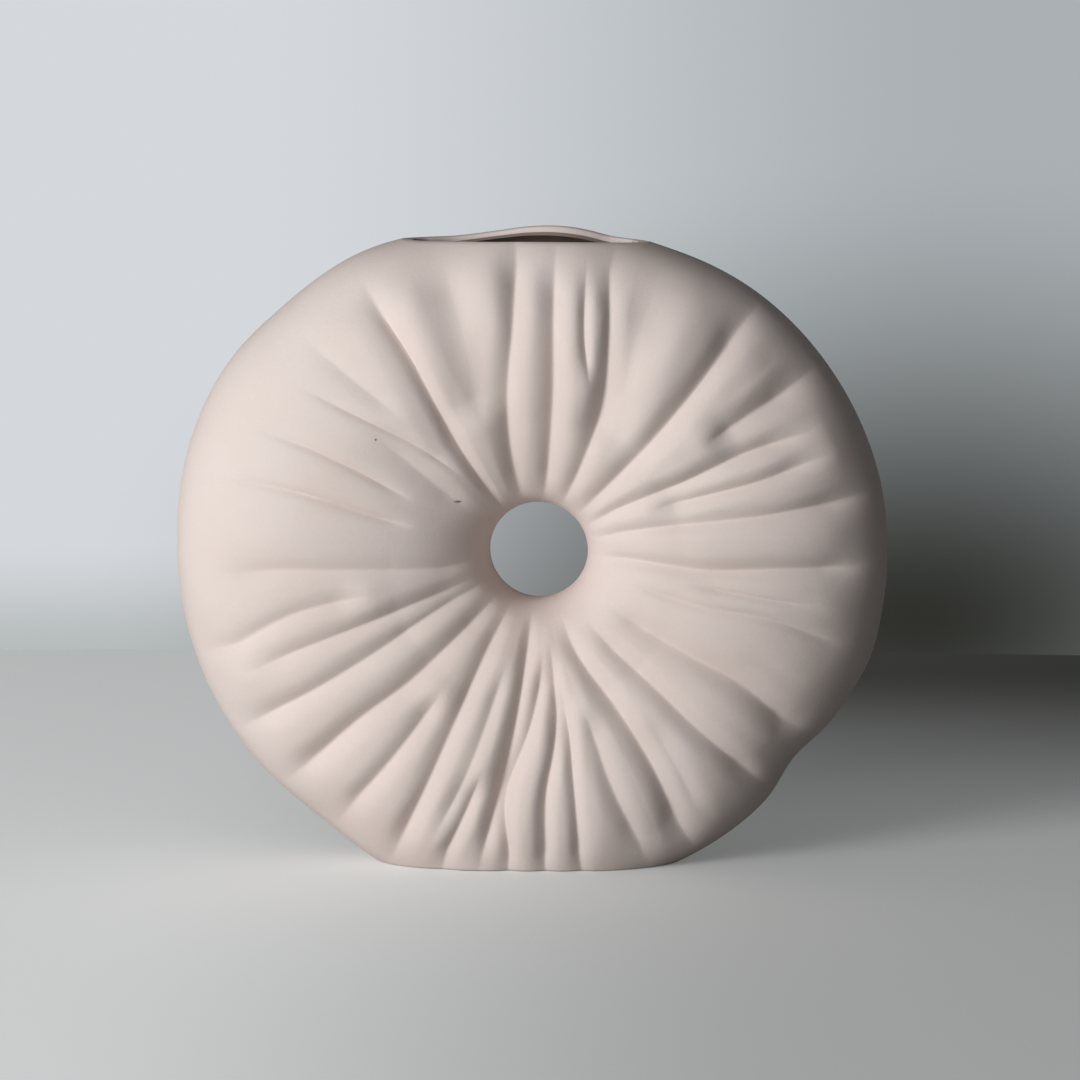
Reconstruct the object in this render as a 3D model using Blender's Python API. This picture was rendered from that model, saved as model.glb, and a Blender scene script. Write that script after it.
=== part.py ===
"""A donut vase of matt ceramic, pressed into pleats that run out from the hole.

The hole's axis lies along Y and the vase stands on Z = 0, with its photographed face towards -Y.
Lengths are in millimetres until an object's mesh is written, and angles run clockwise from the
top as seen from the front.
"""

from math import tau

import bmesh
import bpy
import numpy as np

MM = 0.001

# Driving dimensions
REACH = 147.0
HALF_DEPTH = 48.5
CREST_RADIUS = 85.0
THROAT_RADIUS = 20.8
COLLAR_RADIUS = 27.0
WALL = 5.5
FOOT_CUT = 13.5
MOUTH_CUT = 15.3
MOUTH_MIDDLE = 2.0
MOUTH_DEPTH = 30.0
LIP_SLOPE = -0.010
LIP_WIDTH = 5.5
LIP_END = 7.0
BASE_THICKNESS = 6.0
GAP = 0.3
BASE_CLEARANCE = 0.45

# The table cuts the ring off at the foot, and the mouth is cut level with it at the top
HOLE_HEIGHT = REACH - FOOT_CUT
MOUTH_HEIGHT = HOLE_HEIGHT + REACH - MOUTH_CUT

# How round the section is on the way to the throat and on the way to the rim, where 2 is an ellipse
THROAT_ROUNDNESS = 2.2
RIM_ROUNDNESS = 2.1

# How far each half's lip rises above a straight mouth, where it peaks and how far out it reaches
FRONT_LIP_RISE = 0.8
FRONT_LIP_PEAK = 0.0
FRONT_LIP_REACH = 44.0
BACK_LIP_RISE = 4.1
BACK_LIP_PEAK = 5.5
BACK_LIP_REACH = 32.0

# The length that 1 stands for in the tables of the outline and of the creases
TABLE_UNIT = 1.0

# How far the outline stands out from REACH at each angle
OUTLINE = (
    (0, -7.5),
    (20, -7.9),
    (40, -3.9),
    (60, -1.3),
    (80, 0.7),
    (100, 0.8),
    (107, 1.9),
    (114, -0.8),
    (122, -3.0),
    (129, -6.0),
    (138, -2.0),
    (157, 0.2),
    (180, 1.5),
    (204, 4.4),
    (219, 1.6),
    (232, 4.0),
    (250, 6.0),
    (270, 7.0),
    (290, 7.9),
    (302, 6.5),
    (312, 3.1),
    (330, -0.4),
    (342, -5.2),
    (360, -7.5),
)

# The creases between the pleats. Each row gives the crease's angle at the four stations, the
# shares of the way from throat to rim where it starts and ends, its depth and its half width.
STATIONS = (0.12, 0.36, 0.60, 0.84)
CREASES = (
    (7.1, 6.1, 4.5, 3.5, 0.00, 0.92, 5.5, 9.0),
    (20.5, 18.7, 12.3, 9.5, 0.43, 0.88, 2.6, 4.0),
    (25.4, 23.2, 18.4, 14.2, 0.00, 0.93, 5.0, 8.0),
    (36.0, 33.0, 26.0, 19.8, 0.28, 0.90, 3.4, 9.0),
    (43.5, 43.3, 42.3, 40.9, 0.00, 0.99, 6.0, 8.0),
    (47.0, 50.0, 52.0, 52.0, 0.46, 0.90, 1.4, 7.0),
    (50.5, 54.5, 56.5, 57.9, 0.46, 1.00, 4.2, 8.0),
    (57.5, 60.8, 61.8, 64.3, 0.00, 0.78, 5.0, 7.0),
    (63.5, 67.1, 69.4, 69.6, 0.22, 0.90, 4.2, 6.0),
    (71.8, 75.6, 77.8, 78.6, 0.00, 1.00, 4.2, 7.0),
    (89.0, 92.0, 91.2, 91.0, 0.00, 0.98, 4.2, 7.0),
    (96.0, 97.0, 98.1, 98.2, 0.25, 0.86, 2.2, 3.5),
    (106.0, 105.3, 102.6, 104.8, 0.15, 0.94, 2.2, 6.0),
    (116.0, 116.0, 117.0, 117.5, 0.55, 0.94, 1.8, 8.0),
    (122.5, 121.3, 120.5, 123.0, 0.10, 1.00, 5.2, 9.0),
    (140.3, 136.8, 135.8, 135.2, 0.08, 1.00, 5.0, 8.0),
    (150.0, 145.5, 143.8, 148.3, 0.45, 0.90, 1.6, 8.0),
    (157.5, 151.4, 150.3, 151.9, 0.04, 1.00, 5.4, 8.0),
    (164.5, 161.8, 161.4, 160.2, 0.32, 0.98, 3.6, 8.0),
    (169.8, 168.8, 170.3, 171.8, 0.22, 1.00, 3.6, 5.0),
    (170.8, 172.6, 177.3, 178.4, 0.10, 1.00, 4.4, 6.0),
    (175.4, 181.5, 187.0, 185.2, 0.12, 1.00, 4.2, 6.0),
    (185.5, 187.0, 188.9, 190.3, 0.00, 0.94, 5.0, 7.0),
    (192.5, 193.5, 194.7, 196.8, 0.52, 1.00, 3.4, 6.0),
    (196.0, 196.8, 198.2, 200.5, 0.16, 0.86, 2.6, 7.0),
    (208.6, 206.8, 205.9, 205.6, 0.00, 1.00, 4.8, 8.0),
    (218.5, 215.8, 215.8, 216.6, 0.34, 1.00, 4.4, 8.0),
    (225.6, 226.0, 227.9, 227.8, 0.00, 1.00, 6.0, 9.0),
    (243.6, 240.8, 239.7, 239.6, 0.00, 1.00, 5.0, 8.0),
    (251.0, 250.0, 249.5, 248.5, 0.03, 0.88, 4.0, 7.0),
    (259.0, 259.0, 258.1, 254.0, 0.36, 1.00, 3.2, 7.0),
    (265.3, 267.4, 268.1, 267.6, 0.00, 0.88, 3.4, 8.0),
    (286.7, 286.7, 286.8, 284.9, 0.22, 0.84, 2.6, 4.5),
    (298.5, 298.4, 297.8, 295.0, 0.26, 0.82, 2.0, 4.5),
    (307.0, 308.8, 308.0, 305.0, 0.08, 0.56, 2.2, 10.0),
    (317.0, 315.0, 309.5, 305.9, 0.34, 0.86, 1.8, 4.5),
    (319.5, 319.0, 316.3, 314.0, 0.46, 0.92, 1.6, 7.0),
    (325.6, 327.3, 328.8, 328.1, 0.00, 0.95, 5.2, 7.0),
    (335.0, 339.2, 342.3, 342.5, 0.34, 0.95, 3.4, 9.0),
    (346.2, 350.0, 354.1, 356.1, 0.00, 0.94, 5.5, 8.0),
)

# How the creases are pressed: the share over which one deepens and fades out, and over which all
# of them end at the rim, the radius within which one narrows towards the throat, how much of it is
# a soft shoulder and how many times wider that is, and how much shows on the inside of the wall
CREASE_FADE_IN = 0.13
CREASE_FADE_OUT = 0.24
CREASE_RIM_FADE = 0.06
CREASE_FULL_RADIUS = 60.0
CREASE_LEAST_WIDTH = 0.4
CREASE_SHOULDER = 0.4
SHOULDER_WIDTH = 2.2
INSIDE_FOLLOWS = 0.6

# How finely the surfaces are divided
STEPS_PER_PLEAT = 4
OUTER_RINGS = 13
INNER_RINGS = 7
INNER_RINGS_CROWD = 1.3
THROAT_STEPS = 48
THROAT_RINGS = 5
LIP_STEPS = 40
MOUTH_STEPS = 40

PLEATS = len(CREASES)
CREASE_ANGLES = np.array([row[:4] for row in CREASES])
CREASE_STARTS, CREASE_ENDS, CREASE_DEPTHS, CREASE_WIDTHS = np.array(
    [row[4:] for row in CREASES]
).T[:, :, None]

FRONT, BACK = 1, -1


def flowing(stations, values, at):
    """Reads a smooth curve through the values at the stations, at each place of at."""
    stations = np.array(stations, float)
    values = np.array(values, float)
    slopes = np.gradient(values, stations, axis=-1)
    at = np.clip(at, stations[0], stations[-1])
    left = np.searchsorted(stations, at, side="right") - 1
    left = np.clip(left, 0, len(stations) - 2)
    span = stations[left + 1] - stations[left]
    t = (at - stations[left]) / span
    keep = ((2 * t - 3) * t * t + 1) * values[..., left]
    reach = (3 - 2 * t) * t * t * values[..., left + 1]
    leave = ((t - 2) * t + 1) * t * span * slopes[..., left]
    arrive = (t - 1) * t * t * span * slopes[..., left + 1]
    return keep + reach + leave + arrive


def eased(share):
    share = np.clip(share, 0, 1)
    return share * share * (3 - 2 * share)


def outline_radius(angle):
    angles, swells = zip(*OUTLINE)
    return REACH + TABLE_UNIT * flowing(angles, swells, angle % 360)


def hole_x():
    """Places the hole so that the outline's left and right ends lie evenly about X = 0."""
    angles = np.arange(0, 360, 0.5)
    across = outline_radius(angles) * np.sin(np.radians(angles))
    return -(across.max() + across.min()) / 2


HOLE_X = hole_x()


def section(run, rim_radius):
    """The unpleated section, from the throat at run 0 over the crest at 0.5 to the rim at 1.

    Gives its radius, its depth in front of the seam, and its outward direction in those two.
    """
    inward = run < 0.5
    roundness = np.where(inward, THROAT_ROUNDNESS, RIM_ROUNDNESS)
    half_width = np.where(inward, CREST_RADIUS - THROAT_RADIUS, rim_radius - CREST_RADIUS)
    turn = np.clip(abs(2 * run - 1), 0, 1) * tau / 4
    across = np.sin(turn) ** (2 / roundness)
    up = np.clip(np.cos(turn), 0, 1) ** (2 / roundness)
    away = np.where(inward, -1, 1)
    radius = CREST_RADIUS + away * half_width * across
    out_radius = away * across ** (roundness - 1) / half_width
    out_depth = up ** (roundness - 1) / HALF_DEPTH
    size = np.hypot(out_radius, out_depth)
    return radius, HALF_DEPTH * up, out_radius / size, out_depth / size


def run_at(radius):
    """The run where the throat side of the section has this radius."""
    share = (CREST_RADIUS - radius) / (CREST_RADIUS - THROAT_RADIUS)
    return 0.5 - np.arcsin(share ** (THROAT_ROUNDNESS / 2)) / tau * 2


def throat_share(radius):
    return (radius - THROAT_RADIUS) / (REACH - THROAT_RADIUS)


def column_angle(column, share):
    """Turns a column, counted in pleats, to its place between the two creases beside it."""
    angles = flowing(STATIONS, CREASE_ANGLES, share)
    places = np.arange(len(column))
    before = np.floor(column).astype(int) % PLEATS
    after = (before + 1) % PLEATS
    start = angles[before, places]
    end = angles[after, places] + 360 * (after == 0)
    return start + (column - np.floor(column)) * (end - start)


def pleat_depth(angle, radius, share):
    """How far the creases draw the surface in at this place."""
    away = (angle - flowing(STATIONS, CREASE_ANGLES, share) + 180) % 360 - 180
    narrowed = np.clip(radius / CREASE_FULL_RADIUS, CREASE_LEAST_WIDTH, 1)
    beside = abs(np.radians(away)) * radius / (TABLE_UNIT * CREASE_WIDTHS * narrowed)
    fold = np.clip(1 - beside, 0, 1) ** 2
    shoulder = eased(1 - beside / SHOULDER_WIDTH)
    pressed = fold + CREASE_SHOULDER * (shoulder - fold)
    deepens = eased((share - CREASE_STARTS) / CREASE_FADE_IN)
    fades = eased((CREASE_ENDS - share) / CREASE_FADE_OUT)
    collar = eased((share - throat_share(COLLAR_RADIUS)) / CREASE_FADE_IN)
    rim = eased((1 - share) / CREASE_RIM_FADE)
    depth = (CREASE_DEPTHS * pressed * deepens * fades).sum(axis=0)
    return TABLE_UNIT * depth * collar * rim


def skin(side, column, run, inside):
    """Places points of one half's outer skin, or of its inner skin where inside is 1."""
    share = throat_share(section(run, REACH)[0])
    for _ in range(3):
        pattern = column_angle(column, share)
        angle = pattern if side == FRONT else 360 - pattern
        radius, depth, out_radius, out_depth = section(run, outline_radius(angle))
        share = throat_share(radius)
    even_share = (radius - THROAT_RADIUS) / (outline_radius(angle) - THROAT_RADIUS)
    drawn_in = pleat_depth(pattern, radius, np.minimum(share, even_share))
    drawn_in = inside * WALL + np.where(inside > 0, INSIDE_FOLLOWS, 1) * drawn_in
    radius = radius - drawn_in * out_radius
    depth = depth - drawn_in * out_depth
    turn = np.radians(angle)
    x = HOLE_X + radius * np.sin(turn)
    z = HOLE_HEIGHT + radius * np.cos(turn)
    return np.stack([x, -side * (depth + GAP / 2), z], axis=-1)


def material(name, colour, roughness):
    made = bpy.data.materials.new(name)
    made.use_nodes = True
    shader = made.node_tree.nodes["Principled BSDF"]
    shader.inputs["Base Color"].default_value = (*colour, 1)
    shader.inputs["Roughness"].default_value = roughness
    shader.inputs["Metallic"].default_value = 0
    return made


def finished(name, bm, points, finish):
    """Writes a bmesh, with its points in millimetres, as an object in metres."""
    for vertex, point in zip(bm.verts, points):
        vertex.co = point * MM
    bmesh.ops.recalc_face_normals(bm, faces=bm.faces)
    mesh = bpy.data.meshes.new(name)
    bm.to_mesh(mesh)
    bm.free()
    if finish:
        mesh.materials.append(finish)
    mesh.shade_smooth()
    mesh.set_sharp_from_angle(angle=tau / 9)
    thing = bpy.data.objects.new(name, mesh)
    bpy.context.scene.collection.objects.link(thing)
    return thing


def turned(profile, steps):
    """Spins a closed profile about the hole's axis. Each point carries its place in the profile."""
    bm = bmesh.new()
    place = bm.verts.layers.int.new("place")
    for index, (radius, y) in enumerate(profile):
        vertex = bm.verts.new((0, y, radius))
        vertex[place] = index
    bm.verts.ensure_lookup_table()
    for index in range(len(profile)):
        bm.edges.new((bm.verts[index - 1], bm.verts[index]))
    bmesh.ops.spin(
        bm,
        geom=bm.verts[:] + bm.edges[:],
        cent=(0, 0, 0),
        axis=(0, 1, 0),
        angle=tau,
        steps=steps,
        use_merge=True,
    )
    places = np.array([vertex[place] for vertex in bm.verts])
    points = np.array([vertex.co for vertex in bm.verts])
    return bm, places, points


def inner_runs():
    """The rings of the inner skin, closer together towards the rim, where the base meets it."""
    collar = run_at(COLLAR_RADIUS + GAP)
    return 1 - (1 - collar) * np.linspace(0, 1, INNER_RINGS) ** INNER_RINGS_CROWD


def make_shell(name, side, finish):
    """One pressed half: a closed section spun round the hole, then drawn in along the creases."""
    inner = inner_runs()
    outer = np.linspace(inner[-1], 1, OUTER_RINGS)
    runs = np.concatenate([outer, inner])
    inside = np.concatenate([np.zeros(OUTER_RINGS), np.ones(INNER_RINGS)])
    radius, depth, out_radius, out_depth = section(runs, REACH)
    profile = np.stack([radius - inside * WALL * out_radius, inside * WALL * out_depth - depth], axis=-1)
    bm, places, points = turned(profile, PLEATS * STEPS_PER_PLEAT)
    turn = np.arctan2(points[:, 0], points[:, 2]) / tau % 1
    column = np.round(turn * PLEATS * STEPS_PER_PLEAT) / STEPS_PER_PLEAT % PLEATS
    return finished(name, bm, skin(side, column, runs[places], inside[places]), finish)


def make_throat(finish):
    """The smooth ring through the hole, flared at both ends to meet the pleated halves."""
    collar = run_at(COLLAR_RADIUS)
    half = np.linspace(0, collar, THROAT_RINGS)
    radius, depth, out_radius, out_depth = section(half, REACH)
    hollow = np.stack([radius, -depth], axis=-1)
    buried = np.stack([radius - WALL * out_radius, WALL * out_depth - depth], axis=-1)
    mirror = np.array([1, -1])
    profile = np.concatenate([hollow[::-1], hollow[1:] * mirror, buried[:0:-1] * mirror, buried])
    bm, _, points = turned(profile, THROAT_STEPS)
    return finished("centre_tube", bm, points + np.array([HOLE_X, 0, HOLE_HEIGHT]), finish)


def make_block(low, high, cuts):
    """A cutter: a block whose top and bottom are divided along X."""
    bm = bmesh.new()
    bmesh.ops.create_cube(bm, size=1)
    along = [edge for edge in bm.edges if abs(edge.verts[0].co.x - edge.verts[1].co.x) > 0.5]
    if cuts:
        bmesh.ops.subdivide_edges(bm, edges=along, cuts=cuts, use_grid_fill=True)
    low, high = np.array(low), np.array(high)
    points = np.array([vertex.co for vertex in bm.verts]) + 0.5
    points = low + points * (high - low)
    return bm, points


def hidden_cutter(name, bm, points):
    cutter = finished(name, bm, points, None)
    cutter.hide_render = True
    cutter.display_type = "WIRE"
    return cutter


def lip_height(side, x):
    rise, peak, reach = FRONT_LIP_RISE, FRONT_LIP_PEAK, FRONT_LIP_REACH
    if side == BACK:
        rise, peak, reach = BACK_LIP_RISE, BACK_LIP_PEAK, BACK_LIP_REACH
    swell = np.clip(1 - abs((x - peak) / reach) ** 3, 0, 1) ** 2
    return MOUTH_HEIGHT + LIP_SLOPE * (x - MOUTH_MIDDLE) + rise * swell


def lip_ends():
    """The X of the mouth's two corners, where the outline drops below the lips."""
    angles = np.arange(-90, 90, 0.1)
    radius = outline_radius(angles)
    x = HOLE_X + radius * np.sin(np.radians(angles))
    z = HOLE_HEIGHT + radius * np.cos(np.radians(angles))
    above = z > lip_height(FRONT, x)
    return x[above].min(), x[above].max()


def lip_reach(side, x):
    """How far from the seam the outer skin stands where it passes the lip's height."""
    across, up = x - HOLE_X, lip_height(side, x) - HOLE_HEIGHT
    rim = outline_radius(np.degrees(np.arctan2(across, up)))
    share = np.clip((np.hypot(across, up) - CREST_RADIUS) / (rim - CREST_RADIUS), 0, 1)
    return HALF_DEPTH * (1 - share ** RIM_ROUNDNESS) ** (1 / RIM_ROUNDNESS)


def make_cutters():
    """The foot is cut flat, and the mouth along a lip that rises a little at its middle."""
    wide = 2 * REACH
    bm, points = make_block((-wide, -wide, -wide), (wide, wide, 0), 0)
    foot = hidden_cutter("foot_cutter", bm, points)
    lips = {}
    for name, side in (("front_lip_cutter", FRONT), ("back_lip_cutter", BACK)):
        low = (-REACH, -wide, MOUTH_HEIGHT)
        bm, points = make_block(low, (REACH, wide, 2 * wide), LIP_STEPS)
        at_mouth = np.isclose(points[:, 2], MOUTH_HEIGHT)
        points[:, 2] = np.where(at_mouth, lip_height(side, points[:, 0]), points[:, 2])
        lips[side] = hidden_cutter(name, bm, points)
    return foot, lips, make_mouth_cutter()


def make_mouth_cutter():
    """The mouth is opened straight down through the curl of the wall, inside the two lips."""
    bm = bmesh.new()
    bmesh.ops.create_cone(
        bm, cap_ends=True, segments=MOUTH_STEPS, radius1=1, radius2=1, depth=1
    )
    points = np.array([vertex.co for vertex in bm.verts])
    share = points[:, 0]
    forward = points[:, 1] < 0
    left, right = lip_ends()
    middle, half_length = (left + right) / 2, (right - left) / 2
    x = middle + half_length * share
    lips = np.where(forward, -lip_reach(FRONT, x), lip_reach(BACK, x))
    widest = np.where(forward, lip_reach(FRONT, middle), lip_reach(BACK, middle))
    points[:, 0] = middle + (half_length - LIP_END) * share
    points[:, 1] = lips * (1 - LIP_WIDTH / widest)
    points[:, 2] = MOUTH_HEIGHT - MOUTH_DEPTH + (points[:, 2] + 0.5) * 2 * REACH
    return hidden_cutter("mouth_cutter", bm, points)


def cut(thing, cutter):
    modifier = thing.modifiers.new(cutter.name, "BOOLEAN")
    modifier.operation = "DIFFERENCE"
    modifier.solver = "EXACT"
    modifier.object = cutter


def foot_line(side, height):
    """The inner skin's line at this height, less the gap, for the columns that reach the foot."""
    column = np.arange(PLEATS * STEPS_PER_PLEAT) / STEPS_PER_PLEAT
    inside = 1 + BASE_CLEARANCE / WALL
    rings = np.stack([skin(side, column, np.full(len(column), run), inside) for run in inner_runs()])
    rings = rings[:, rings[0, :, 2] < 0]
    after = (rings[:, :, 2] > height).argmax(axis=0)
    places = np.arange(rings.shape[1])
    below, above = rings[after - 1, places], rings[after, places]
    share = (height - below[:, 2]) / (above[:, 2] - below[:, 2])
    return below + share[:, None] * (above - below)


def make_base(finish):
    """The base closes the foot from inside. Its edge slopes with the wall that it meets."""
    bm = bmesh.new()
    rings = []
    for height in (0, BASE_THICKNESS):
        line = np.concatenate([foot_line(FRONT, height), foot_line(BACK, height)])
        ring = [bm.verts.new(point) for point in line]
        bm.faces.new(ring)
        rings.append(ring)
    for index in range(len(rings[0])):
        lower, upper = rings
        bm.faces.new((lower[index - 1], lower[index], upper[index], upper[index - 1]))
    points = np.array([vertex.co for vertex in bm.verts])
    return finished("base_slab", bm, points, finish)


def make_vase():
    for thing in list(bpy.data.objects):
        bpy.data.objects.remove(thing, do_unlink=True)
    ceramic = material("matt_pink_ceramic", (0.72, 0.60, 0.54), 0.85)
    bare = material("bare_ceramic", (0.76, 0.68, 0.62), 0.9)
    foot, lips, mouth = make_cutters()
    for name, side in (("front_shell", FRONT), ("back_shell", BACK)):
        shell = make_shell(name, side, ceramic)
        cut(shell, foot)
        cut(shell, lips[side])
        cut(shell, mouth)
    make_throat(ceramic)
    make_base(bare)


make_vase()
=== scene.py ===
# %% [markdown]
# # A pleated donut vase
# The vase is one hollow ring of matt clay that stands on its rim. It was cast in a two-part
# mould, and the clay skin was pressed into folds that run out from the hole, like cloth that is
# gathered by a drawstring. This notebook dresses the imported solids: first the form, then the
# clay, then a plain studio. The solids fix where everything is, so they are loaded first, and
# their box is kept, to be printed beside the dressed vase's box at the end.

from math import cos, radians, sin, tau

import bmesh
import bpy
import numpy as np
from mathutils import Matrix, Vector


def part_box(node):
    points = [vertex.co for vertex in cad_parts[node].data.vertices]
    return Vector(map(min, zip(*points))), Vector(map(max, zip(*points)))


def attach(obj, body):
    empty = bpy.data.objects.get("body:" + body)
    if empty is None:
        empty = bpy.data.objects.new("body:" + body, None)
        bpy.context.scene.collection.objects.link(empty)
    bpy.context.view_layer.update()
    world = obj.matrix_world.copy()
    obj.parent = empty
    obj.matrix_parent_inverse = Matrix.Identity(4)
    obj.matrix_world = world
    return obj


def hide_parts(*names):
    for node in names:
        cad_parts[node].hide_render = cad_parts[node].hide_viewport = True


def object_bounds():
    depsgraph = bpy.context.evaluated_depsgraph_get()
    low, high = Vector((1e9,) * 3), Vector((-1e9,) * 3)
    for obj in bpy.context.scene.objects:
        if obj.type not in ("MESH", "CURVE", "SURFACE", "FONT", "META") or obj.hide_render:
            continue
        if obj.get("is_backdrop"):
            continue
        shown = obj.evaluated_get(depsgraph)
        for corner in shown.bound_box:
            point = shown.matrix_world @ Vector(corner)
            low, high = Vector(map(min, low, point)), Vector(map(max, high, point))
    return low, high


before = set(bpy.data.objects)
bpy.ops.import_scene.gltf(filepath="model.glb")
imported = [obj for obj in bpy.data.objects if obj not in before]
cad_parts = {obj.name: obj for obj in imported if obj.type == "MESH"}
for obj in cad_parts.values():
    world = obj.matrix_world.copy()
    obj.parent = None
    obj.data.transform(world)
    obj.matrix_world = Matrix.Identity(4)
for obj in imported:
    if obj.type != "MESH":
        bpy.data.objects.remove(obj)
cad_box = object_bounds()
print("solids:", ", ".join(sorted(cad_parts)))

# %% [markdown]
# ## The section of the ring
# Cut the vase anywhere through its hole and the wall draws the same curve. It leaves the throat,
# swells to a crest and falls to the rim, as two quarters of a superellipse, which is an ellipse
# whose powers can be raised a little to make it fuller. A curve like this could be drawn by hand
# with Bezier handles, but a formula also gives the direction in which the wall faces, and the
# folds need that direction. Lengths are in millimetres until a mesh is written.

# %% Sizes of the form
MM = 0.001
tube_low, tube_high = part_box("centre_tube")
HOLE_X = (tube_low.x + tube_high.x) / 2 / MM
HOLE_HEIGHT = (tube_low.z + tube_high.z) / 2 / MM
REACH = 147.0
HALF_DEPTH = 48.5
CREST_RADIUS = 85.0
THROAT_RADIUS = 20.8
COLLAR_RADIUS = 27.0
WALL = 5.5
THROAT_ROUNDNESS = 2.2
RIM_ROUNDNESS = 2.1
CREST_RUN = 0.5
FRONT, BACK = 1, -1
print(f"hole at x {HOLE_X:.2f} mm, {HOLE_HEIGHT:.1f} mm above the table")


# %% The section as a formula
def section(run, rim_radius):
    """Goes from the throat at run 0 over the crest at CREST_RUN to the rim at 1.

    Gives the radius, the depth in front of the seam, and the outward direction in those two.
    """
    inward = run < CREST_RUN
    roundness = np.where(inward, THROAT_ROUNDNESS, RIM_ROUNDNESS)
    half_width = np.where(inward, CREST_RADIUS - THROAT_RADIUS, rim_radius - CREST_RADIUS)
    turn = np.clip(abs(run - CREST_RUN) / CREST_RUN, 0, 1) * tau / 4
    across = np.sin(turn) ** (2 / roundness)
    up = np.clip(np.cos(turn), 0, 1) ** (2 / roundness)
    away = np.where(inward, -1, 1)
    radius = CREST_RADIUS + away * half_width * across
    out_radius = away * across ** (roundness - 1) / half_width
    out_depth = up ** (roundness - 1) / HALF_DEPTH
    size = np.hypot(out_radius, out_depth)
    return radius, HALF_DEPTH * up, out_radius / size, out_depth / size


def run_at(radius):
    """The run where the throat side of the section has this radius."""
    share = (CREST_RADIUS - radius) / (CREST_RADIUS - THROAT_RADIUS)
    return CREST_RUN - np.arcsin(share ** (THROAT_ROUNDNESS / 2)) / tau * 2


def throat_share(radius):
    return (radius - THROAT_RADIUS) / (REACH - THROAT_RADIUS)


COLLAR_RUN = run_at(COLLAR_RADIUS)
print(f"the throat ring meets the halves at run {COLLAR_RUN:.3f}")

# %% [markdown]
# ## The hand-made outline
# The rim isn't a true circle. Clay sags and the folds pull it in, so the outline is given as a
# few swells at chosen angles, read clockwise from the top, with a smooth curve through them. A
# cubic curve with slopes taken from its neighbours keeps the clay's lazy curvature, where
# straight pieces would show as corners.

# %% The outline
OUTLINE = (
    (0, -7.5),
    (20, -7.9),
    (40, -3.9),
    (60, -1.3),
    (80, 0.7),
    (100, 0.9),
    (107, 1.1),
    (114, -0.7),
    (122, -3.5),
    (129, -6.2),
    (137, -2.8),
    (148, -1.0),
    (157, -0.3),
    (180, 1.5),
    (204, 4.4),
    (219, 1.6),
    (232, 4.0),
    (250, 6.0),
    (270, 7.0),
    (290, 7.9),
    (302, 6.5),
    (312, 3.1),
    (330, -0.4),
    (342, -5.2),
    (360, -7.5),
)


def flowing(stations, values, at):
    """Reads a smooth curve through the values at the stations, at each place of at."""
    stations = np.array(stations, float)
    values = np.array(values, float)
    slopes = np.gradient(values, stations, axis=-1)
    at = np.clip(at, stations[0], stations[-1])
    left = np.searchsorted(stations, at, side="right") - 1
    left = np.clip(left, 0, len(stations) - 2)
    span = stations[left + 1] - stations[left]
    t = (at - stations[left]) / span
    keep = ((2 * t - 3) * t * t + 1) * values[..., left]
    reach = (3 - 2 * t) * t * t * values[..., left + 1]
    leave = ((t - 2) * t + 1) * t * span * slopes[..., left]
    arrive = (t - 1) * t * t * span * slopes[..., left + 1]
    return keep + reach + leave + arrive


def outline_radius(angle):
    angles, swells = zip(*OUTLINE)
    return REACH + flowing(angles, swells, angle % 360)


def eased(share):
    share = np.clip(share, 0, 1)
    return share * share * (3 - 2 * share)


rim_radii = outline_radius(np.arange(360))
print(f"the rim is {rim_radii.min():.1f} to {rim_radii.max():.1f} mm from the middle of the hole")

# %% [markdown]
# ## The creases
# Each fold is bounded by creases. A crease starts near the hole or part of the way out, wanders a
# little, and fades before the rim. It is written as its angle at four stations between throat and
# rim, the shares of the way where it starts and ends, its depth and its half width. The widest
# are soft valleys, the others have a sharp line with a shoulder on each side. Sculpting brushes
# could draw these too, but a table of creases can be read, mirrored and changed one by one,
# which a sculpt can't.

# %% The creases
STATIONS = (0.12, 0.36, 0.60, 0.84)
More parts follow.
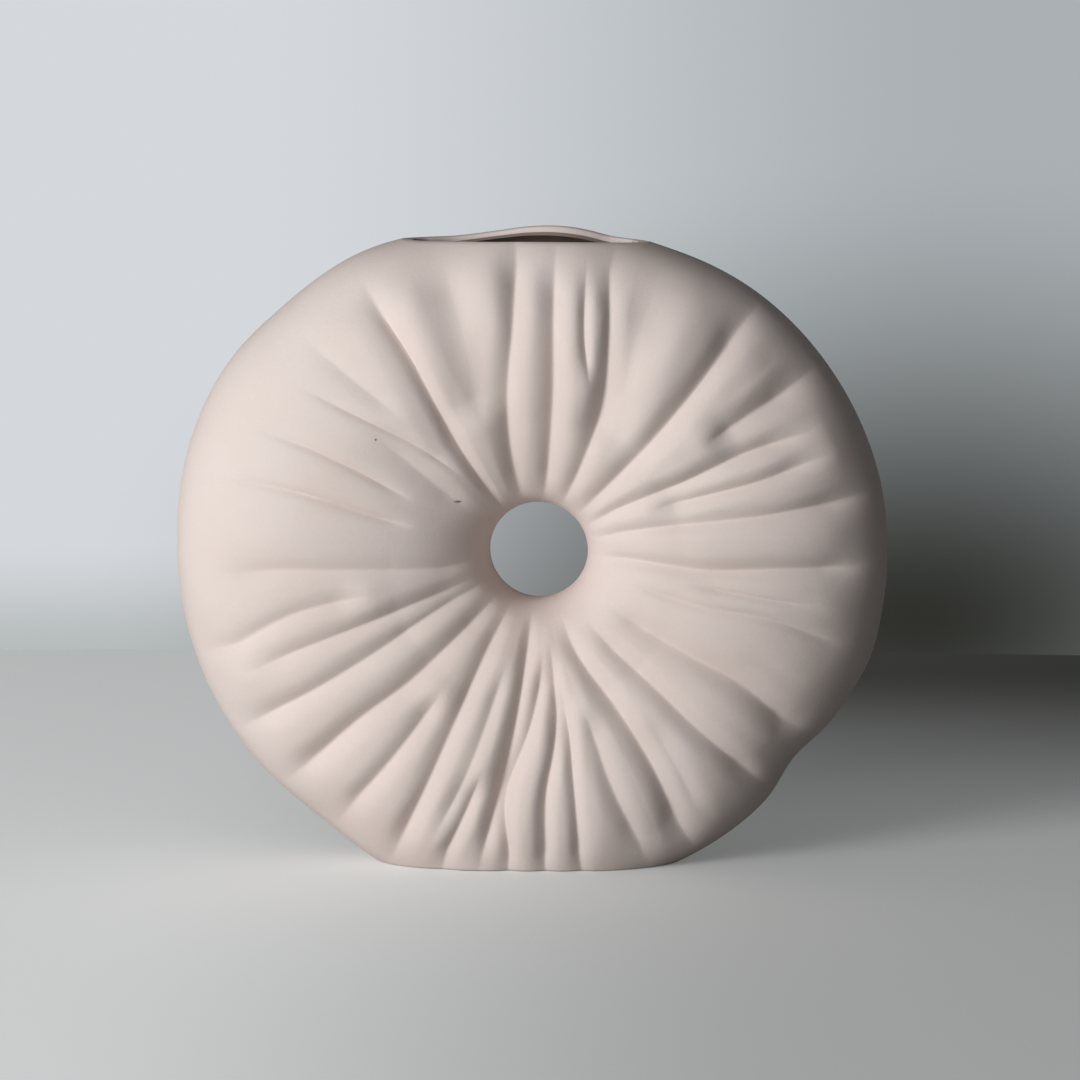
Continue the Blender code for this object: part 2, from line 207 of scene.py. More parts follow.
# Four angles, start, end, depth, half width
CREASES = (
    (7.1, 6.1, 4.5, 3.5, 0.00, 0.92, 5.5, 9.0),
    (20.5, 18.7, 12.3, 9.5, 0.43, 0.88, 2.6, 4.0),
    (25.4, 23.2, 18.4, 14.2, 0.00, 0.93, 5.0, 8.0),
    (30.5, 27.5, 24.8, 23.4, 0.22, 0.92, 3.8, 11.0),
    (43.5, 43.3, 42.3, 40.9, 0.00, 0.99, 6.0, 9.0),
    (47.5, 48.5, 49.0, 49.5, 0.60, 1.00, 0.4, 8.0),
    (52.0, 54.0, 54.6, 55.4, 0.50, 1.00, 5.4, 10.4),
    (57.5, 60.8, 61.8, 64.3, 0.00, 0.90, 5.0, 7.0),
    (63.5, 67.1, 69.4, 69.6, 0.22, 0.90, 4.2, 6.0),
    (71.8, 75.6, 77.8, 78.6, 0.00, 1.00, 4.2, 7.0),
    (89.0, 92.0, 91.2, 91.0, 0.00, 0.98, 4.2, 7.0),
    (97.0, 97.7, 98.4, 98.8, 0.32, 0.84, 1.5, 2.6),
    (103.0, 104.2, 103.0, 105.0, 0.14, 0.94, 1.7, 4.0),
    (113.0, 113.0, 113.5, 114.5, 0.55, 0.94, 0.4, 8.0),
    (122.5, 121.3, 120.5, 123.0, 0.10, 1.00, 5.2, 10.0),
    (140.3, 136.8, 135.8, 135.2, 0.08, 1.00, 5.0, 8.0),
    (148.5, 145.5, 145.0, 147.0, 0.45, 0.92, 1.4, 9.0),
    (157.5, 151.4, 150.3, 151.9, 0.04, 1.00, 5.4, 8.0),
    (164.5, 161.8, 161.4, 160.2, 0.32, 0.98, 3.6, 8.0),
    (169.8, 168.8, 170.3, 171.8, 0.22, 1.00, 3.6, 5.0),
    (170.8, 172.6, 177.3, 178.4, 0.10, 1.00, 4.4, 6.0),
    (175.4, 181.5, 187.0, 185.2, 0.12, 1.00, 4.2, 6.0),
    (185.5, 187.0, 188.9, 190.3, 0.00, 0.94, 5.0, 7.0),
    (192.5, 193.5, 194.7, 196.8, 0.52, 1.00, 3.4, 6.0),
    (196.0, 196.8, 198.2, 200.5, 0.16, 0.86, 2.6, 7.0),
    (208.6, 206.8, 205.9, 205.6, 0.00, 1.00, 4.8, 8.0),
    (218.5, 215.8, 215.8, 216.6, 0.34, 1.00, 4.4, 8.0),
    (225.6, 226.0, 227.9, 227.8, 0.00, 1.00, 6.0, 9.0),
    (243.6, 240.8, 239.7, 239.6, 0.00, 1.00, 5.0, 8.0),
    (251.0, 250.0, 249.5, 248.5, 0.03, 0.88, 4.0, 7.0),
    (259.0, 259.0, 258.1, 254.0, 0.36, 1.00, 3.2, 7.0),
    (265.3, 267.4, 268.1, 267.6, 0.00, 0.88, 3.4, 8.0),
    (286.0, 286.6, 286.8, 284.9, 0.22, 0.86, 1.8, 2.6),
    (295.5, 297.6, 297.4, 295.1, 0.26, 0.84, 1.7, 2.6),
    (307.0, 308.8, 308.0, 305.0, 0.08, 0.56, 2.2, 9.0),
    (321.5, 315.4, 309.6, 305.9, 0.20, 0.80, 1.6, 2.8),
    (323.5, 319.8, 316.3, 314.0, 0.46, 0.92, 1.6, 7.0),
    (325.6, 327.3, 328.8, 328.1, 0.00, 0.95, 4.8, 5.8),
    (335.0, 339.2, 342.3, 342.5, 0.30, 0.97, 4.0, 12.0),
    (346.2, 350.0, 354.1, 356.1, 0.00, 0.96, 5.2, 9.0),
)
PLEATS = len(CREASES)
CREASE_ANGLES = np.array([row[:4] for row in CREASES])
CREASE_STARTS, CREASE_ENDS, CREASE_DEPTHS, CREASE_WIDTHS = np.array(
    [row[4:] for row in CREASES]
).T[:, :, None]
CREASE_DEEPENING = 1.25
CREASE_OPENING = 0.8
CREASE_FADE_IN = 0.13
CREASE_FADE_OUT = 0.20
CREASE_RIM_FADE = 0.06
CREASE_THROAT_FADE = 0.07
CREASE_FULL_RADIUS = 60.0
CREASE_LEAST_WIDTH = 0.4
CREASE_SOFTNESS = 0.09
CREASE_SHOULDER = 0.4
SHOULDER_WIDTH = 2.2
VALLEY_WIDTH = 10.5
VALLEY_SHOULDER = 0.85
VALLEY_SHOULDER_WIDTH = 1.5
INSIDE_FOLLOWS = 0.7
valleys = CREASE_WIDTHS > VALLEY_WIDTH
SHOULDERS = np.where(valleys, VALLEY_SHOULDER, CREASE_SHOULDER)
SHOULDER_WIDTHS = np.where(valleys, VALLEY_SHOULDER_WIDTH, SHOULDER_WIDTH)
print(PLEATS, "creases, of which", int(valleys.sum()), "are soft valleys")

# %% [markdown]
# ## Pressing the clay
# A fold isn't cut into the clay, it draws the whole wall in, square to the surface. So each
# crease gives a depth that falls off with the distance from its line: a fold with a sharp
# bottom, mixed with a rounded shoulder. A displacement texture could do this too, but it can't
# follow lines that wander, meet and widen as they fade. The back half mirrors the front.

# %% How the creases press the clay
ANGLE_PASSES = 3


def pleat_depth(angle, radius, share):
    """How far the creases draw the surface in at this place."""
    away = (angle - flowing(STATIONS, CREASE_ANGLES, share) + 180) % 360 - 180
    narrowed = np.clip(radius / CREASE_FULL_RADIUS, CREASE_LEAST_WIDTH, 1)
    deepens = eased((share - CREASE_STARTS) / CREASE_FADE_IN)
    fades = eased((CREASE_ENDS - share) / CREASE_FADE_OUT)
    opened = narrowed * (1 + CREASE_OPENING * (1 - fades))
    softness = CREASE_SOFTNESS * CREASE_WIDTHS
    distance = np.hypot(np.radians(away) * radius, softness) - softness
    beside = distance / (CREASE_WIDTHS * opened)
    fold = np.clip(1 - beside, 0, 1) ** 2
    shoulder = eased(1 - beside / SHOULDER_WIDTHS)
    pressed = fold + SHOULDERS * (shoulder - fold)
    throat = eased(share / CREASE_THROAT_FADE) * narrowed
    rim = eased((1 - share) / CREASE_RIM_FADE)
    total = (CREASE_DEPTHS * pressed * deepens * fades).sum(axis=0)
    return CREASE_DEEPENING * total * throat * rim


def column_angle(column, share):
    """Turns a column, counted in pleats, to its place between the two creases beside it."""
    angles = flowing(STATIONS, CREASE_ANGLES, share)
    places = np.arange(len(column))
    before = np.floor(column).astype(int) % PLEATS
    after = (before + 1) % PLEATS
    start = angles[before, places]
    end = angles[after, places] + 360 * (after == 0)
    return start + (column - np.floor(column)) * (end - start)


def skin(side, column, run, inside, pleated=1):
    """Places points of one half's outer skin, or of its inner skin where inside is 1."""
    share = throat_share(section(run, REACH)[0])
    for _ in range(ANGLE_PASSES):
        pattern = column_angle(column, share)
        angle = pattern if side == FRONT else 360 - pattern
        radius, depth, out_radius, out_depth = section(run, outline_radius(angle))
        share = throat_share(radius)
    even_share = (radius - THROAT_RADIUS) / (outline_radius(angle) - THROAT_RADIUS)
    drawn_in = pleated * pleat_depth(pattern, radius, np.minimum(share, even_share))
    drawn_in = inside * WALL + (INSIDE_FOLLOWS if inside else 1) * drawn_in
    return placed(side, angle, radius - drawn_in * out_radius, depth - drawn_in * out_depth)


def placed(side, angle, radius, depth):
    turn = np.radians(angle)
    x = HOLE_X + radius * np.sin(turn)
    z = HOLE_HEIGHT + radius * np.cos(turn)
    return np.stack([x, -side * depth, z], axis=-1)


halfway = (THROAT_RADIUS + REACH) / 2
pressed = pleat_depth(np.arange(360), halfway, np.full(360, throat_share(halfway)))
print(f"halfway out the creases press up to {pressed.max():.1f} mm")

# %% [markdown]
# ## Lip and foot
# While the clay is still damp, the maker trims the top to open the mouth and the bottom to make
# it stand. A Boolean would cut both, but it leaves a ragged ring of slivers that can't be
# rounded. Here each column of the mesh stops exactly where it meets the cut instead, so the lip
# and the foot are clean rings that a sponge could have rounded. The cut rises and falls by hand,
# so each half has a line of small rises along the mouth.

# %% Where the lip and the foot are cut
MOUTH_HEIGHT = 265.2
MOUTH_MIDDLE = 2.0
LIP_SLOPE = -0.010
FRONT_LIP = (
    (-46, -0.4),
    (-33, 0.0),
    (-18, 0.3),
    (0, 0.6),
    (20, 0.6),
    (34, 0.3),
    (47, -0.2),
)
BACK_LIP = (
    (-46, -0.4),
    (-34, -0.2),
    (-26, 0.6),
    (-15, 2.2),
    (-2, 4.3),
    (10, 5.0),
    (19, 4.2),
    (26, 2.7),
    (32, 1.1),
    (39, 0.2),
    (47, -0.2),
)


def lip_height(side, x):
    places, rises = zip(*(FRONT_LIP if side == FRONT else BACK_LIP))
    return MOUTH_HEIGHT + LIP_SLOPE * (x - MOUTH_MIDDLE) + flowing(places, rises, x)


def beyond(side, points):
    """How far points lie above the lip or below the foot."""
    return np.maximum(points[..., 2] - lip_height(side, points[..., 0]), -points[..., 2])


highest = max(lip_height(BACK, place) for place, _ in BACK_LIP)
print(f"the mouth is cut {MOUTH_HEIGHT} mm up, and the back lip rises to {highest:.1f} mm")

# %% [markdown]
# ## Columns and rows
# The mesh is a grid: rows go round the hole and columns go out from it. Sixteen columns per fold
# are crowded towards the creases, where the clay turns fastest. The four corners, where the seam
# runs into the mouth or the foot, get a column of their own and some close to it, because the
# cut line turns sharply there.

# %% Columns
STEPS_PER_PLEAT = 16
CROWDING = 0.6
CORNER_SPREAD = 0.45
CORNER_STEPS = 8
HALVINGS = 40


def even_columns():
    steps = np.arange(PLEATS * STEPS_PER_PLEAT) / STEPS_PER_PLEAT
    return steps - CROWDING * np.sin(tau * steps) / tau


def at_rim(side, columns):
    return beyond(side, skin(side, columns, np.ones(len(columns)), 0))


def corner_columns(side):
    """Finds the four columns where the rim crosses a cut, by halving the step that holds each."""
    columns = even_columns()
    outside = at_rim(side, columns) > 0
    found = []
    for index in np.flatnonzero(outside != np.roll(outside, -1)):
        low = columns[index]
        high = columns[(index + 1) % len(columns)] + PLEATS * (index + 1 == len(columns))
        for _ in range(HALVINGS):
            middle = (low + high) / 2
            if (at_rim(side, np.array([middle % PLEATS]))[0] > 0) == outside[index]:
                low = middle
            else:
                high = middle
        found.append((low % PLEATS, -1 if outside[index] else 1))
    return found


def columns_of(side):
    """All columns in order, whether each is cut, and whether it is a corner."""
    columns = [(column, False) for column in even_columns()]
    spread = CORNER_SPREAD * (np.arange(1, CORNER_STEPS + 1) / CORNER_STEPS) ** 2
    for corner, way in corner_columns(side):
        columns.append((corner, True))
        columns += [((corner + way * step) % PLEATS, False) for step in spread]
    columns.sort()
    places = np.array([column for column, _ in columns])
    corners = np.array([corner for _, corner in columns])
    return places, (at_rim(side, places) > 0) | corners, corners


COLUMNS = {side: columns_of(side) for side in (FRONT, BACK)}
print("columns:", len(COLUMNS[FRONT][0]), "and", len(COLUMNS[BACK][0]))

# %% [markdown]
# The outer skin ends where it meets the cut. The lip then runs inwards, level and about as wide
# as the wall, and drops to the inner skin. Both of its edges are rounded with short curves of
# three control points, as a damp sponge rounds clay: the skin's last point, the sharp corner,
# and a point along the lip. At the seam both halves have the same width and run square to it,
# so their lips meet in one line.

# %% Rows of the cut edge
LIP_WIDTH = 5.2
BACK_LIP_EXTRA = 1.4
FOOT_WIDTH = 7.0
LIP_ROUNDING = 2.3
FOOT_ROUNDING = 1.3
ROUNDING_STEPS = 5
ROUNDING_FULL_DEPTH = 7.0
ROUNDING_SHARE = 0.45
FIRST_RUN = 0.55
RUN_STEPS = 240
TINY = 1e-9
print(f"lip {LIP_WIDTH} mm wide, its edges rounded over {LIP_ROUNDING} mm")


def end_run(side, columns, cut, inside, pleated, over):
    """The run where each cut column's skin reaches the place where over turns positive."""
    runs = np.linspace(FIRST_RUN, 1, RUN_STEPS)
    ends = np.ones(len(columns))
    some = np.flatnonzero(cut)
    grid = np.repeat(columns[some], RUN_STEPS)
    points = skin(side, grid, np.tile(runs, len(some)), inside, pleated)
    height = over(points.reshape(len(some), RUN_STEPS, 3))
    after = np.where((height > 0).any(axis=1), (height > 0).argmax(axis=1), RUN_STEPS - 1)
    after = np.clip(after, 1, None)
    rows = np.arange(len(some))
    low, high = height[rows, after - 1], height[rows, after]
    share = np.clip(low / np.minimum(low - high, -TINY), 0, 1)
    ends[some] = runs[after - 1] + share * (runs[1] - runs[0])
    return ends


def cut_arcs(cut):
    """The two unbroken stretches of cut columns, each from corner to corner."""
    starts = np.flatnonzero(cut & ~np.roll(cut, 1))
    for start in starts:
        order = np.roll(np.arange(len(cut)), -start)
        yield order[: np.argmin(np.append(cut[order], False))]


def inner_lip(side, columns, cut, outer):
    """The lip's inner edge: the outer edge moved in, square to itself, by the lip's width."""
    inner = outer.copy()
    plain_end = end_run(side, columns, cut, 0, 0, lambda points: beyond(side, points))
    plain = skin(side, columns, plain_end, 0, 0)
    for arc in cut_arcs(cut):
        seam_share = eased(abs(outer[arc, 1:2]) / ROUNDING_FULL_DEPTH)
        line = outer[arc] + seam_share * (plain[arc] - outer[arc])
        along = np.gradient(line[:, :2], axis=0)
        off_seam = eased(abs(line[:, 1]) / ROUNDING_FULL_DEPTH)
        square = np.stack([-along[:, 1], along[:, 0] * off_seam], axis=-1)
        square /= np.linalg.norm(square, axis=1)[:, None]
        middle = np.array([line[:, 0].mean(), 0])
        square *= np.sign((square * (middle - line[:, :2])).sum(axis=1))[:, None]
        foot = line[:, 2].mean() < HOLE_HEIGHT
        width = FOOT_WIDTH if foot else LIP_WIDTH + BACK_LIP_EXTRA * off_seam * (side == BACK)
        flat = line[:, :2] + np.reshape(width, (-1, 1)) * square
        flat[:, 1] = -side * np.clip(-side * flat[:, 1], 0, None)
        inner[arc, :2] = flat
        inner[arc, 2] = 0 if foot else lip_height(side, flat[:, 0])
    return inner


def rounded(before, corner, after, steps):
    """Rows of a curve that leaves before, turns at the corner and arrives at after."""
    for share in np.arange(1, steps + 1) / steps:
        yield (1 - share) ** 2 * before + 2 * share * (1 - share) * corner + share**2 * after


def towards(start, end, length):
    """The point this far from start towards end, but never past the middle."""
    step = end - start
    size = np.linalg.norm(step, axis=1)[:, None]
    return start + step * np.minimum(length[:, None] / np.maximum(size, TINY), ROUNDING_SHARE)


# %% Where the two skins of one half end
def cut_edges(side):
    """Where both skins end as runs, and the points of the lip's outer, inner and dropped edges."""
    columns, cut, corners = COLUMNS[side]
    on_seam = corners | ~cut
    end = end_run(side, columns, cut, 0, 1, lambda points: beyond(side, points))
    outer_edge = skin(side, columns, end, 0)
    outer_edge[on_seam, 1] = 0
    inner_edge = inner_lip(side, columns, cut, outer_edge)
    level = abs(inner_edge[:, 1])

    def past_level(points):
        return level[cut][:, None] - abs(points[..., 1]) + TINY

    inner_end = end_run(side, columns, cut, 1, 1, past_level)
    inner_end[on_seam] = 1
    dropped = skin(side, columns, inner_end, 1)
    dropped[on_seam, 1] = 0
    return end, inner_end, outer_edge, inner_edge, dropped


# %% Rows of one half
OUTER_ROWS = 96
INNER_ROWS = 24
DROP_ROWS = 3
SUPPORT = 0.0025
SHORT_RUN = 0.01


def half_rows(side):
    """All rows of one half: outer skin, rounded lip, drop, inner skin. Each row is an array."""
    columns, cut, corners = COLUMNS[side]
    end, inner_end, outer_edge, inner_edge, dropped = cut_edges(side)
    foot = outer_edge[:, 2] < HOLE_HEIGHT
    amount = cut * eased(abs(outer_edge[:, 1]) / ROUNDING_FULL_DEPTH)
    rounding = amount * np.where(foot, FOOT_ROUNDING, LIP_ROUNDING)
    short_way = outer_edge - skin(side, columns, end - SHORT_RUN, 0)
    start = end - rounding / (np.linalg.norm(short_way, axis=1) / SHORT_RUN)
    shares = np.append(np.linspace(0, 1, OUTER_ROWS), 1 - SUPPORT)
    shares.sort()
    rows = []
    for share in shares:
        run = COLLAR_RUN + share * (1 - COLLAR_RUN)
        past_crest = (run - CREST_RUN) / (1 - CREST_RUN)
        run = np.where(past_crest > 0, CREST_RUN + past_crest * (start - CREST_RUN), run)
        rows.append(skin(side, columns, run, 0))
    rows[-1][corners | ~cut, 1] = 0
    leaving = towards(outer_edge, inner_edge, rounding)
    rows += rounded(rows[-1], outer_edge, leaving, ROUNDING_STEPS)
    arriving = towards(inner_edge, outer_edge, np.where(cut, rounding, 0))
    falling = towards(inner_edge, dropped, np.where(cut, LIP_ROUNDING, 0) * amount)
    rows.append(arriving)
    rows += rounded(arriving, inner_edge, falling, ROUNDING_STEPS)
    inner_from = len(rows)
    for share in np.arange(1, DROP_ROWS + 1) / DROP_ROWS:
        rows.append(falling + share * (dropped - falling))
    for share in np.linspace(0, 1, INNER_ROWS)[1:]:
        rows.append(skin(side, columns, inner_end + share * (COLLAR_RUN - inner_end), 1))
    return rows, inner_from, inner_edge


# %% [markdown]
# ## From a flat sheet to the half shell
# Every piece starts as a flat grid, like a slab of clay that is rolled out and then wrapped. Its
# place on the flat sheet says which row and which column a vertex belongs to, and so where it
# goes. A spin would make the same quads, but it takes far longer for this many. Once the sheet
# is wrapped, its first and last columns lie on each other, and so do its first and last rows.
# Merging them closes the skin without a seam.

# %% Wrap a sheet into a piece
MERGE_DISTANCE = 1e-7
SHARP_ANGLE = radians(55)


def wrapped(rows, inner_from=None):
    """A grid whose vertices are moved to the points of the rows, closed in both directions.

    Faces whose rows all lie at inner_from or after get the second material.
    """
    grid = np.array(rows)
    row_count, column_count = grid.shape[:2]
    bm = bmesh.new()
    bmesh.ops.create_grid(bm, x_segments=column_count, y_segments=row_count, size=0.5)
    flat = np.array([vertex.co for vertex in bm.verts]) + 0.5
    column = np.round(flat[:, 0] * column_count).astype(int) % column_count
    row = np.round(flat[:, 1] * row_count).astype(int) % row_count
    if inner_from is not None:
        for face in bm.faces:
            inner = min(row[vertex.index] for vertex in face.verts) >= inner_from
            face.material_index = int(inner)
    return bm, grid[row, column]


def piece(name, bm, points, nodes):
    """Writes a shaped mesh as a piece that stands for CAD nodes."""
    for vertex, point in zip(bm.verts, points):
        vertex.co = point * MM
    bmesh.ops.remove_doubles(bm, verts=bm.verts, dist=MERGE_DISTANCE)
    bmesh.ops.recalc_face_normals(bm, faces=bm.faces)
    mesh = bpy.data.meshes.new(name)
    bm.to_mesh(mesh)
    bm.free()
    mesh.shade_smooth()
    mesh.set_sharp_from_angle(angle=SHARP_ANGLE)
    thing = bpy.data.objects.new(name, mesh)
    bpy.context.scene.collection.objects.link(thing)
    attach(thing, "root")
    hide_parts(*nodes)
    mesh.calc_loop_triangles()
    print(f"{name}: {len(mesh.loop_triangles)} triangles")
    return thing


# %% The two pressed halves
halves = {}
foot_lines = {}
for side, name, node in ((FRONT, "front_half", "front_shell"), (BACK, "back_half", "back_shell")):
    rows, inner_from, inner_edge = half_rows(side)
    columns, cut, corners = COLUMNS[side]
    bm, points = wrapped(rows, inner_from)
    halves[side] = piece(name, bm, points, [node])
    foot_lines[side] = inner_edge[cut & (inner_edge[:, 2] < HOLE_HEIGHT)]

# %% [markdown]
# ## The throat
# A ring of clay lines the hole and joins the two halves. The folds run over its edge and die out
# inside it, so the hole's edge isn't quite round. Its rows go from the front collar through the
# waist to the back collar. At the two collars it has the halves' own points, so no joint shows.

# %% The throat ring
THROAT_ROWS = 31
BURIED_ROWS = 9


def throat_row(way, inside):
    """One row of the ring, from way -1 at the front collar to 1 at the back collar."""
    front, back = COLUMNS[FRONT][0], COLUMNS[BACK][0]
    mirrored = np.roll(back[::-1], 1)
    run = np.full(len(front), abs(way) * COLLAR_RUN)
    radius, depth, out_radius, out_depth = section(run, REACH)
    share = throat_share(radius)
    collar_share = np.full(len(front), throat_share(section(np.array([COLLAR_RUN]), REACH)[0])[0])
    front_angle = column_angle(front, collar_share)
    back_angle = 360 - column_angle(mirrored, collar_share)
    twist = (back_angle - front_angle + 180) % 360 - 180
    angle = front_angle + twist * eased((way + 1) / 2)
    side = FRONT if way < 0 else BACK
    pattern = angle if side == FRONT else 360 - angle
    drawn_in = inside * WALL + (1 - inside) * pleat_depth(pattern, radius, share)
    return placed(side, angle, radius - drawn_in * out_radius, depth - drawn_in * out_depth)


ring_rows = [throat_row(way, 0) for way in np.linspace(-1, 1, THROAT_ROWS)]
ring_rows += [throat_row(way, 1) for way in np.linspace(1, -1, BURIED_ROWS)]
bm, points = wrapped(ring_rows)
throat = piece("throat_ring", bm, points, ["centre_tube"])

# %% [markdown]
# ## The base
# The foot is closed by a flat slab of the same clay, laid inside the foot ring. Its outline is
# the foot ring's own inner line, so it is filled as one face and extruded upwards.

# %% The base slab
BASE_THICKNESS = 6.0
order = np.argsort(foot_lines[FRONT][:, 0])
front_line = foot_lines[FRONT][order]
order = np.argsort(-foot_lines[BACK][:, 0])
back_line = foot_lines[BACK][order]
outline = np.concatenate([front_line, back_line[1:-1]])
bm = bmesh.new()
bottom = bm.faces.new([bm.verts.new(point) for point in outline])
top = bmesh.ops.extrude_face_region(bm, geom=[bottom])
raised = [item for item in top["geom"] if isinstance(item, bmesh.types.BMVert)]
bmesh.ops.translate(bm, verts=raised, vec=(0, 0, BASE_THICKNESS))
points = np.array([vertex.co for vertex in bm.verts])
base = piece("base_floor", bm, points, ["base_slab"])

# %% [markdown]
# ## Matt clay
# The vase is slip-cast earthenware that was fired once and left without a glaze. Unglazed clay
# has no mirror-like layer: its roughness is high, and its fine pores scatter light so evenly
# that the lit side looks almost flat in tone. A picture could carry the colour, but it would
# stretch over the folds, so the colour is a hex value that drifts a little with a slow noise.
# The pores are too fine to show, so the tooth is drawn about a millimetre wide, with finer
# detail in it, over slow swells that the sponge leaves. Two small pits are drawn in the same
# way, because a hole as fine as a pin would need a far denser mesh, and the shade in them is
# painted as a dark brown colour. The inside was never smoothed, so its tooth is coarser, and it
# gets little light, so that shade is painted into its colour, which is much darker. The foot
# was sanded flat.

# %% Colour and node helpers
SMOOTH_RANGE = {"interpolation_type": "SMOOTHSTEP"}
COLOUR_MIX = {"data_type": "RGBA"}


def linear(hex_colour):
    """Turns an sRGB hex value into the linear colour that shaders take."""
    values = [int(hex_colour[start : start + 2], 16) / 255 for start in (1, 3, 5)]
    curve = [v / 12.92 if v <= 0.04045 else ((v + 0.055) / 1.055) ** 2.4 for v in values]
    return (*curve, 1)


def add(tree, kind, settings=None, **links):
    """Adds a node, sets what settings says, and links or sets each input.

    An input goes by its name, or by i and its number. A node as value stands for its first
    output that is in use.
    """
    node = tree.nodes.new(kind)
    for name, value in (settings or {}).items():
        setattr(node, name, value)
    for name, value in links.items():
        socket = node.inputs[int(name[1:]) if name[1:].isdigit() else name.replace("_", " ")]
        if isinstance(value, bpy.types.Node):
            value = next(output for output in value.outputs if output.enabled)
        if isinstance(value, bpy.types.NodeSocket):
            tree.links.new(value, socket)
        else:
            socket.default_value = value
    return node


def new_material(name):
    material = bpy.data.materials.new(name)
    material.use_nodes = True
    material.node_tree.nodes.clear()
    return material, material.node_tree


def near(tree, where, middle, size):
    """Rises from 0 at the edge of an ellipsoid around middle to 1 in it."""
    scale = [1 / length for length in size]
    away = add(tree, "ShaderNodeVectorMath", {"operation": "SUBTRACT"}, i0=where, i1=middle)
    away = add(tree, "ShaderNodeVectorMath", {"operation": "MULTIPLY"}, i0=away, i1=scale)
    away = add(tree, "ShaderNodeVectorMath", {"operation": "LENGTH"}, i0=away)
    return add(tree, "ShaderNodeMapRange", SMOOTH_RANGE, i0=away, i1=1.0, i2=0.0)


print("white in linear colour:", linear("#FFFFFF"))

# %% The clay
DRIFT_SIZE = 71.4
SWELL_SIZE = 14.3
TOOTH_SIZE = 1.11
SWELL_DEPTH = 1.2
TOOTH_DEPTH = 0.3
PIT_DEPTH = 0.6
# Middle and reach of each pit
PITS = (
    ((-62.6, -48.5, 185.6), (0.7, 10.0, 0.7)),
    ((-29.2, -37.3, 158.4), (2.4, 10.0, 0.8)),
)


def clay(name, lit, shaded, roughness, tooth):
    """Unglazed clay: slow colour drift, fine speckle, pits with painted shade, and a tooth of two
    sizes.
    """
    material, tree = new_material(name)
    where = add(tree, "ShaderNodeTexCoord").outputs["Object"]
    pits = 0.0
    for middle, reach in PITS:
        pit = near(tree, where, Vector(middle) * MM, Vector(reach) * MM)
        pits = add(tree, "ShaderNodeMath", {"operation": "MAXIMUM"}, i0=pits, i1=pit)
    scale = 1 / (DRIFT_SIZE * MM)
    drift = add(tree, "ShaderNodeTexNoise", Vector=where, Scale=scale, Detail=3.0, Roughness=0.55)
    scale = 1 / (SWELL_SIZE * MM)
    swell = add(tree, "ShaderNodeTexNoise", Vector=where, Scale=scale, Detail=2.0, Roughness=0.5)
    scale = 1 / (TOOTH_SIZE * MM)
    grain = add(tree, "ShaderNodeTexNoise", Vector=where, Scale=scale, Detail=4.0, Roughness=0.6)
    tone = add(tree, "ShaderNodeMapRange", i0=drift, i1=0.3, i2=0.7)
    colour = add(tree, "ShaderNodeMix", COLOUR_MIX, i0=tone, i6=linear(shaded), i7=linear(lit))
    speckle = add(tree, "ShaderNodeMapRange", i0=grain, i1=0.3, i2=0.7, i3=0.985, i4=1.015)
    tinting = {"data_type": "RGBA", "blend_type": "MULTIPLY"}
    colour = add(tree, "ShaderNodeMix", tinting, i0=1.0, i6=colour, i7=speckle)
    # The pits are painted dark brown: painted shade inside the small holes.
    colour = add(tree, "ShaderNodeMix", COLOUR_MIX, i0=pits, i6=colour, i7=linear("#5E4A42"))
    pitted = add(
        tree,
        "ShaderNodeBump",
        {"invert": True},
        Strength=0.5,
        Distance=PIT_DEPTH * MM,
        Height=pits,
    )
    swollen = add(
        tree,
        "ShaderNodeBump",
        Strength=0.12,
        Distance=SWELL_DEPTH * MM,
        Height=swell,
        Normal=pitted,
    )
    toothed = add(
        tree,
        "ShaderNodeBump",
        Strength=tooth,
        Distance=TOOTH_DEPTH * MM,
        Height=grain,
        Normal=swollen,
    )
    rough = add(tree, "ShaderNodeMapRange", i0=grain, i3=roughness - 0.05, i4=roughness + 0.05)
    shader = add(
        tree,
        "ShaderNodeBsdfPrincipled",
        Base_Color=colour,
        Roughness=rough,
        IOR=1.5,
        Specular_IOR_Level=0.3,
        Normal=toothed,
    )
    add(tree, "ShaderNodeOutputMaterial", Surface=shader)
    return material


matt_clay = clay("matt pink earthenware", "#E0D3CD", "#DACBC4", 0.85, 0.3)
# The inner clay is much darker: painted shade, because the inside gets little light.
inner_clay_painted_shade = clay("inner earthenware with painted shade", "#8C7B73", "#7F6F67", 0.95, 0.5)
bare_clay = clay("sanded bare earthenware", "#DACBC3", "#D2C2B9", 0.92, 0.5)
for thing in (*halves.values(), throat):
    thing.data.materials.append(matt_clay)
# The inner skin's faces take the second material, the inner clay with its painted shade.
for half in halves.values():
    half.data.materials.append(inner_clay_painted_shade)
base.data.materials.append(bare_clay)
print("clays:", ", ".join(each.name for each in (matt_clay, inner_clay_painted_shade, bare_clay)))

# %% [markdown]
# ## A plain floor
# The vase stands on a plain pale floor, a flat disc that ends behind it, where it fades into the
# surround. The light is so low that the floor would look grey, so the camera sees it paler than
# it is to the light: Light Path tells a material which kind of ray asks. A stronger lamp would
# lift the floor as well, but it would flatten the folds. Away from the lamp, shade is painted
# into the floor's colour: it grows darker towards the right, for the camera and for the light,
# and the camera also sees a painted shadow behind the vase on the right.

# %% The floor
FLOOR_RADIUS = 4.0
FLOOR_BEHIND = 0.55
material, tree = new_material("pale floor")
place = add(tree, "ShaderNodeTexCoord").outputs["Object"]
place = add(tree, "ShaderNodeSeparateXYZ", Vector=place)
across, back = place.outputs["X"], place.outputs["Y"]
# The floor's colour grows darker towards the right: painted shade away from the lamp.
painted_shade_to_right = add(tree, "ShaderNodeMapRange", SMOOTH_RANGE, i0=across, i1=-0.18, i2=0.12)
